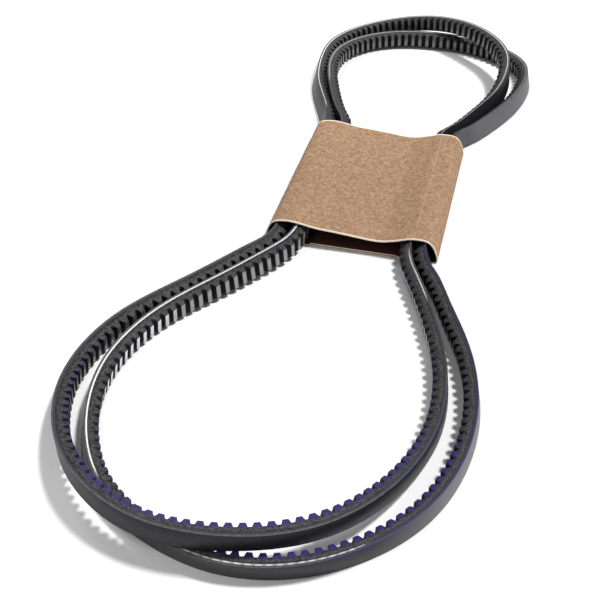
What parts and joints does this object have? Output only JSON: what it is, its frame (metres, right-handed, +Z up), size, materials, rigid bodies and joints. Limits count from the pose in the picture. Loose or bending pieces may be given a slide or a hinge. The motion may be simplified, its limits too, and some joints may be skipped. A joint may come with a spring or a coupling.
{
  "type": "v belt",
  "caption": "Cogged raw-edge V belts coiled together, standing on edge, and pinched at the middle by a kraft card sleeve that slides along the strands.",
  "frame": {"origin": "centre of the card sleeve's underside, on the floor", "axes": "+Y along the coil from the near loop to the far loop, +X to the right, +Z up"},
  "size_m": [0.2167, 0.5793, 0.0283],
  "materials": {
    "back_rubber": "smooth semi-matt black rubber back",
    "tensile_cord": "off-white polyester cord, cut flush at the flanks",
    "cog_rubber": "matt black cut rubber with moulded cogs",
    "kraft_card": "unbleached brown kraft card",
    "dried_glue": "dried adhesive"
  },
  "bodies": {
    "belts": {"upper_back_ply": "back_rubber", "upper_cord_band": "tensile_cord", "upper_cog_rubber": "cog_rubber", "lower_back_ply": "back_rubber", "lower_cord_band": "tensile_cord", "lower_cog_rubber": "cog_rubber"},
    "sleeve": {"card_sleeve": "kraft_card", "glue_line": "dried_glue"}
  },
  "joints": [
    {"name": "sleeve_slide", "type": "slide", "parent": "belts", "child": "sleeve", "axis": [0, 1, 0], "range_m": [-0.005, 0.005]}
  ]
}
